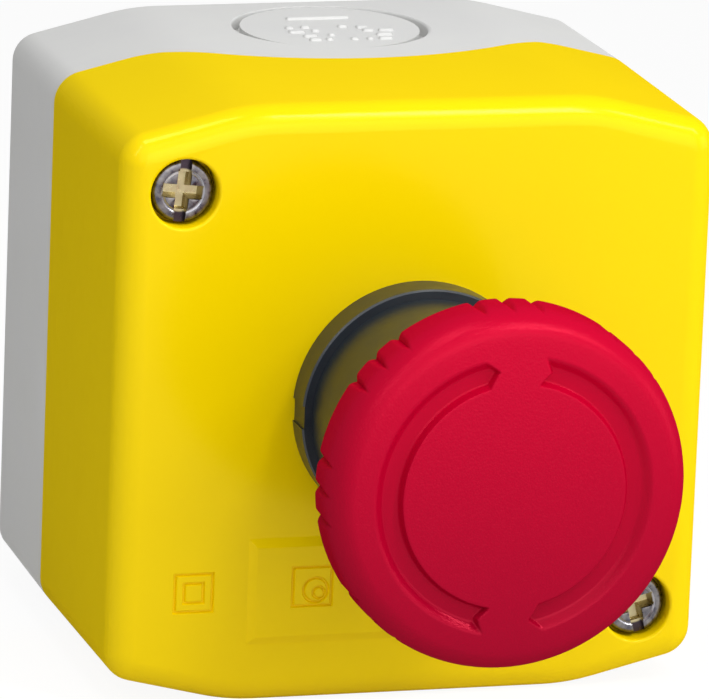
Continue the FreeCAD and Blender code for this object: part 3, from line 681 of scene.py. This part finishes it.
cover = {
    "face": 53.0, "padFace": 53.5, "padTop": -10.0, "padRound": 0.35, "rimRound": 0.3,
    # each mark is a groove: its line's width and depth, and how far each side leans out
    "lineWidth": 0.42, "lineDepth": 0.3, "lineFlare": 0.14, "lineSteps": 48,
    # x, z, side or radius, and the face that the mark is sunk in
    "squareMarks": [(-24.6, -20.7, 4.7, "face"), (-24.6, -20.7, 2.6, "face"),
                    (-11.15, -20.35, 4.85, "padFace")],
    "ringMarks": [(-10.75, -20.8, 1.6, "padFace"), (-10.4, -21.1, 0.85, "padFace")],
    "pocketRadius": 3.875, "pocketPlaces": [(-27.0, 24.7), (27.0, -24.7)], "pocketRound": 0.35,
    "pocketSteps": 84,
}
# a point is on an outer wall, and not on a pillar or a pad, beyond one of these half widths
outerReach = (31.6, 28.5)


# A mark's section as (distance from its middle, depth): a narrow floor and flared sides, open above the face
def grooveCorners(half, face):
    width, flare, depth = cover["lineWidth"], cover["lineFlare"], cover["lineDepth"]
    floor, top = face - depth, face + 0.1
    spread = flare * (top - floor) / depth
    outer, inner = half - flare, half - width + flare
    return [(outer, floor), (inner, floor), (inner - spread, top), (outer + spread, top)]


def squareGroove(x, z, side, face):
    shape = bmesh.new()
    loops = [squareLoop(shape, x, z, half, half, depth)
             for half, depth in grooveCorners(side / 2, cover[face])]
    for loop, after in zip(loops, loops[1:] + loops[:1]):
        joinLoops(shape, loop, after)
    return newObject("groove", meshFrom("groove", shape))


def turnedCutter(corners, steps, x, z):
    cutter = turnedMesh("cutter", corners, steps)
    cutter.transform(Matrix.Translation((x * mm, 0, z * mm)))
    return newObject("cutter", cutter)


def carveMarks(thing):
    for mark in cover["squareMarks"]:
        carve(thing, squareGroove(*mark))
    for x, z, radius, face in cover["ringMarks"]:
        corners = grooveCorners(radius, cover[face])
        carve(thing, turnedCutter(corners + corners[:1], cover["lineSteps"], x, z))


# Gives the mouth of each screw pocket a soft lip
def softenPockets(thing):
    reach, soft, face = cover["pocketRadius"], cover["pocketRound"], cover["face"]
    spare = 0.05
    corners = [(0, face - soft - spare), (reach - spare, face - soft - spare)]
    corners += arc(reach + soft, face - soft, soft, soft, -quarter, 0)
    corners += [(reach + soft, face + 1), (0, face + 1)]
    for x, z in cover["pocketPlaces"]:
        carve(thing, turnedCutter(corners, cover["pocketSteps"], x, z))


# The outer edge of a rim: an outer wall meets a face that looks back (side 1) or forward (side -1)
def onOuterRim(edge, middle, side):
    steepest, flattest = 0.5, 0.6
    outward = any(abs(face.normal.y) < steepest and face.normal.x * middle.x + face.normal.z * middle.z > 0
                  for face in edge.link_faces)
    along = any(face.normal.y * side > flattest for face in edge.link_faces)
    return outward and along and (abs(middle.x) > outerReach[0] or abs(middle.z) > outerReach[1])


# The edges of the raised pad, on the cover's face and on the pad's own
def onPad(edge, middle):
    return all(-vert.co.y / mm > cover["face"] - 0.01 for vert in edge.verts) and middle.z < cover["padTop"]


def makeCover():
    thing = copyOfNode("yellowCover", "front_cover")
    roundEdges(thing, cover["padRound"], onPad)
    roundEdges(thing, cover["rimRound"], lambda edge, middle: onOuterRim(edge, middle, 1))
    softenPockets(thing)
    carveMarks(thing)
    closeSeams(thing)
    smoothShade(thing, 20, weighted=True)
    finishPiece(thing, yellowAbs, "yellow_plastic", "station", "front_cover")


makeCover()


# back box

box = {
    "rimRound": 0.3, "backRound": 0.5,
    "knockoutDepth": 14.0, "knockoutRadius": 10.25, "discDrop": 0.32, "discSteps": 96,
    "grooveWidth": 0.9, "lipRise": 0.2, "lipRound": 0.4,
}
marks = {
    "Rise": 0.3, "Edge": 0.3, "Edge Steps": 4,
    # across, back from the knock-out's middle, length and width of each raised mark
    "bars": [(-0.2, 4.6, 7.4, 1.0), (-4.8, 0.0, 1.0, 0.9), (-2.9, 0.2, 1.0, 0.9), (1.5, 0.1, 1.1, 0.9),
             (3.6, -0.5, 1.3, 1.1), (-4.5, -2.1, 1.9, 1.0), (-2.2, -1.7, 1.0, 0.9), (3.9, -2.1, 1.3, 1.0),
             (6.0, -2.2, 1.8, 0.9), (-3.5, -4.2, 1.6, 1.0), (-0.9, -3.9, 0.8, 0.8), (5.2, -4.3, 1.9, 0.9),
             (-3.4, -6.1, 1.4, 1.0), (-1.7, -6.0, 0.8, 0.9), (1.2, -6.1, 0.9, 0.9), (3.0, -6.2, 0.8, 0.9),
             (4.8, -6.2, 1.6, 0.9)],
}


# Lowers the knock-out discs a little below the face round them, so that their marks stay inside the box, and
# rounds the outer lip of the groove round each
def sinkDiscs(thing):
    spare, above, inward = 0.05, 2, 0.3     # of the cutters: past the cut, over the face, into the groove
    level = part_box("back_box")[1].z / mm - box["discDrop"]
    disc, reach = box["knockoutRadius"] + 2 * spare, box["knockoutRadius"] + box["grooveWidth"]
    lip, soft = box["lipRise"], box["lipRound"]
    discCorners = [(0, 0), (disc, 0), (disc, above), (0, above)]
    lipCorners = [(reach + soft + spare, above), (reach - inward, above), (reach - inward, lip - soft)]
    lipCorners += arc(reach + soft, lip - soft, soft, soft, -quarter, 0) + lipCorners[:1]
    for side in (-1, 1):
        outOfFace = Matrix.Rotation(side * quarter, 4, "X").inverted()
        for corners in (discCorners, lipCorners):
            cutter = turnedMesh("cutter", corners, box["discSteps"])
            middle = Matrix.Translation((0, -box["knockoutDepth"] * mm, side * level * mm))
            cutter.transform(middle @ outOfFace)
            carve(thing, newObject("cutter", cutter))


def makeBox():
    thing = copyOfNode("greyBox", "back_box")
    sinkDiscs(thing)
    roundEdges(thing, box["rimRound"], lambda edge, middle: onOuterRim(edge, middle, -1))
    # only at the wall, within 1 mm of it
    roundEdges(thing, box["backRound"], lambda edge, middle: onOuterRim(edge, middle, 1) and middle.y > -1)
    closeSeams(thing)
    smoothShade(thing, 32, weighted=True)
    finishPiece(thing, greyAbs, "grey_plastic", "station", "back_box")


makeBox()


# marks on the knock-outs

# A raised pillow on each point, as long and wide as the point's own size says
def markTree(inputs):
    tree, given = newTree("knockoutMarks", inputs)
    pillow = addNode(tree, "GeometryNodeMeshCube", {"Size": (mm, mm, mm)})
    size = addNode(tree, "GeometryNodeInputNamedAttribute", {"Name": "size"}, data_type="FLOAT_VECTOR")
    placed = addNode(tree, "GeometryNodeInstanceOnPoints", {
        "Points": given["Geometry"], "Instance": pillow, "Scale": size.outputs[0]})
    return endTree(tree, placed, given["Finish"])


def makeMarks():
    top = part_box("back_box")[1].z / mm - box["discDrop"]
    places, sizes = [], []
    for side in (-1, 1):
        for across, back, length, width in marks["bars"]:
            places.append((across * mm, (back - box["knockoutDepth"]) * mm, side * top * mm))
            sizes.append((length, width, 2 * marks["Rise"]))
    points = bpy.data.meshes.new("knockoutMarks")
    points.from_pydata(places, [], [])
    size = points.attributes.new("size", "FLOAT_VECTOR", "POINT")
    size.data.foreach_set("vector", [part for triple in sizes for part in triple])
    thing = newObject("knockoutMarks", points)
    inputs = {"Finish": greyAbs}
    runTree(thing, markTree(inputs), inputs)
    softenAll(thing, marks["Edge"], marks["Edge Steps"], 30)
    smoothShade(thing, 60)
    finishPiece(thing, greyAbs, "grey_plastic", "station")


makeMarks()


# springs, each a smooth-shaded copy of its frame node, on its body

springs = {
    # name: (node, body, depth of the fixed end)
    "returnSpring": ("return_spring", "station", 60.2),
    "plungerSpring": ("plunger_spring", "station", 7.9),
}


def makeSprings():
    for name, (node, body, fixedEnd) in springs.items():
        spring = copyOfNode(name, node)
        smoothShade(spring, 60)
        finishPiece(spring, springSteel, "spring_steel", body, node)
        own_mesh(spring)


makeSprings()


# cover screws

screw = {
    "headRadius": 3.525, "headHeight": 2.4, "edgeRound": 0.6, "shankRadius": 1.75, "shankStub": 2.0,
    "ringRadius": 2.5, "ringWidth": 0.4, "ringDepth": 0.2,
    "slotWidth": 1.25, "slotDepth": 0.8, "slotFlare": 0.05,
    "crossLength": 4.6, "crossWidth": 1.6, "crossDepth": 1.5,
    "crossNarrow": 0.7, "crossFlare": 0.41,     # how much narrower its floor is, and how its sides lean out
    "burr": 0.07, "burrSteps": 2, "burrAngle": 35,
    "steps": 72,
    "lean": (6.0, -14.0),       # degrees that each screw's slot leans from upright
}


# One screw on the Y axis, with its seat at depth 0
def screwShape():
    s = screw
    front, edge, ring, width = s["headHeight"], s["edgeRound"], s["ringRadius"], s["ringWidth"]
    corners = [(0, front), (ring - width, front), (ring - width / 2, front - s["ringDepth"]), (ring, front)]
    corners += arc(s["headRadius"] - edge, front - edge, edge, edge, 0, quarter)
    corners += [(s["headRadius"], 0), (s["shankRadius"], 0), (s["shankRadius"], -s["shankStub"]),
                (0, -s["shankStub"])]
    thing = newObject("screw", turnedMesh("screw", corners, s["steps"]))
    across = 9      # longer than the head is wide
    floor = front - s["slotDepth"]
    carve(thing, flaredBlock("slot", s["slotWidth"], across, floor, front + 1, s["slotFlare"]))
    long, short = s["crossLength"] - s["crossNarrow"], s["crossWidth"] - s["crossNarrow"]
    floor = front - s["crossDepth"]
    for width, height in ((long, short), (short, long)):
        carve(thing, flaredBlock("cross", width, height, floor, front + 0.3, s["crossFlare"]))
    return softenAll(thing, s["burr"], s["burrSteps"], s["burrAngle"])


# Puts a screw at each point, turned about its own axis, and keeps each point's place on the screw itself
def screwTree(inputs):
    tree, given = newTree("screwPlaces", inputs)
    source = addNode(tree, "GeometryNodeObjectInfo", {"Object": given["Screw"]}).outputs["Geometry"]
    own = addNode(tree, "GeometryNodeStoreNamedAttribute", {
        "Geometry": source, "Name": "ownPlace", "Value": addNode(tree, "GeometryNodeInputPosition")},
        data_type="FLOAT_VECTOR", domain="POINT")
    lean = addNode(tree, "GeometryNodeInputNamedAttribute", {"Name": "lean"}, data_type="FLOAT")
    turn = addNode(tree, "ShaderNodeCombineXYZ", {"Y": lean})
    placed = addNode(tree, "GeometryNodeInstanceOnPoints", {
        "Points": given["Geometry"], "Instance": own, "Rotation": turn})
    return endTree(tree, placed, given["Finish"])


def makeScrews():
    low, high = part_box("cover_screws")
    reach = screw["headRadius"] * mm
    seat = low.y + screw["headHeight"] * mm
    points = bpy.data.meshes.new("coverScrews")
    points.from_pydata([(low.x + reach, seat, high.z - reach), (high.x - reach, seat, low.z + reach)], [], [])
    lean = points.attributes.new("lean", "FLOAT", "POINT")
    lean.data.foreach_set("value", [math.radians(turn) for turn in screw["lean"]])
    thing = newObject("coverScrews", points)
    single = screwShape()
    inputs = {"Screw": single, "Finish": screwZinc}
    runTree(thing, screwTree(inputs), inputs)
    bpy.data.objects.remove(single)
    smoothShade(thing, 35, weighted=True)
    finishPiece(thing, screwZinc, "plated_steel", "station", "cover_screws")


makeScrews()


# stage, light and camera

stage = {"reach": 4.0, "cloud": 60, "shades": ("#dadada", "#dcdcdc"), "seen": "#606060", "glow": 0.92}
lamps = {
    # name: (azimuth, elevation, distance in metres, width, height, watts)
    "front": (-15, 35, 0.4, 0.4, 0.4, 0.45),
    "low": (15, 10, 0.4, 0.4, 0.4, 0.68),
    "right": (75, 5, 0.4, 0.25, 0.25, 0.32),
    "overhead": (-60, 75, 0.3, 0.08, 0.08, 0.14),
    "strip": (31.5, 56, 0.4, 0.035, 0.16, 0.42),
    "stripRight": (58, 42, 0.4, 0.035, 0.16, 0.26),
    "corner": (-60, 42, 0.4, 0.03, 0.24, 0.16),
}
lampAim = Vector((0, -0.04, 0))
ambient = 0.2
# degrees for the angles, millimetres for the rest
shot = {"azimuth": -16.592, "elevation": 14.947, "roll": 2.219, "distance": 945.56,
        "aim": (-3.322, -40.0, 2.862), "lens": 430.09, "sensor": 36.0}


# The way to a place seen at this azimuth and elevation in degrees; azimuth 0 is straight ahead of the cover
def direction(azimuth, elevation):
    turn, rise = math.radians(azimuth), math.radians(elevation)
    return Vector((math.sin(turn) * math.cos(rise), -math.cos(turn) * math.cos(rise), math.sin(rise)))


# 1 where the camera, a mirror or a clear body sees the background, 0 where light from it falls on the object
def seenDirectly(tree):
    ray = addNode(tree, "ShaderNodeLightPath").outputs
    seen = calculate(tree, "MAXIMUM", ray["Is Camera Ray"], ray["Is Glossy Ray"])
    return calculate(tree, "MAXIMUM", seen, ray["Is Transmission Ray"])


# Painted board: pale, dead matt. What is seen of it directly is lifted to white, so the shadow stays soft
def makeFloor():
    material = bpy.data.materials.new("paleBoardPainted")
    tree = emptyTree(material)
    tone = blend(tree, noise(tree, objectPlace(tree), stage["cloud"]), *stage["shades"])
    seen = seenDirectly(tree)
    matt = addNode(tree, "ShaderNodeBsdfDiffuse", {"Color": blend(tree, seen, tone, stage["seen"])})
    glow = addNode(tree, "ShaderNodeEmission", {"Strength": calculate(tree, "MULTIPLY", seen, stage["glow"])})
    both = addNode(tree, "ShaderNodeAddShader", {0: matt, 1: glow})
    addNode(tree, "ShaderNodeOutputMaterial", {"Surface": both})
    board = bmesh.new()
    reach, height = stage["reach"], cadBounds[0].z
    board.faces.new([board.verts.new((x * reach, y * reach, height)) for x, y in squareCorners])
    mesh = bpy.data.meshes.new("floor")
    board.to_mesh(mesh)
    board.free()
    floor = newObject("floor", mesh)
    floor.data.materials.append(material)


def makeLight():
    world = bpy.data.worlds.new("studio")
    scene.world = world
    tree = emptyTree(world)
    level = ranged(tree, seenDirectly(tree), target=(ambient, 1.0))
    sky = addNode(tree, "ShaderNodeBackground", {"Color": (1, 1, 1, 1), "Strength": level})
    addNode(tree, "ShaderNodeOutputWorld", {"Surface": sky})
    for name, (azimuth, elevation, distance, width, height, watts) in lamps.items():
        lamp = bpy.data.lights.new(name, "AREA")
        lamp.shape, lamp.size, lamp.size_y, lamp.energy = "RECTANGLE", width, height, watts
        holder = newObject(name, lamp)
        aim = direction(azimuth, elevation)
        holder.location = lampAim + aim * distance
        holder.rotation_euler = aim.to_track_quat("Z", "Y").to_euler()
        holder.visible_camera = False


def makeCamera():
    back, roll = direction(shot["azimuth"], shot["elevation"]), math.radians(shot["roll"])
    across = (-back).cross(Vector((0, 0, 1))).normalized()
    upward = across.cross(-back)
    right = across * math.cos(roll) + upward * math.sin(roll)
    top = upward * math.cos(roll) - across * math.sin(roll)
    lens = bpy.data.cameras.new("camera")
    lens.sensor_width, lens.lens = shot["sensor"], shot["lens"]
    lens.clip_start, lens.clip_end = 0.05, 50.0
    camera = newObject("camera", lens)
    camera.matrix_world = Matrix((
        (right.x, top.x, back.x, 0), (right.y, top.y, back.y, 0), (right.z, top.z, back.z, 0), (0, 0, 0, 1)))
    camera.location = (Vector(shot["aim"]) + back * shot["distance"]) * mm
    scene.camera = camera


makeFloor()
makeLight()
makeCamera()
scene.view_settings.view_transform = "Standard"
print("stage, light and camera are set")
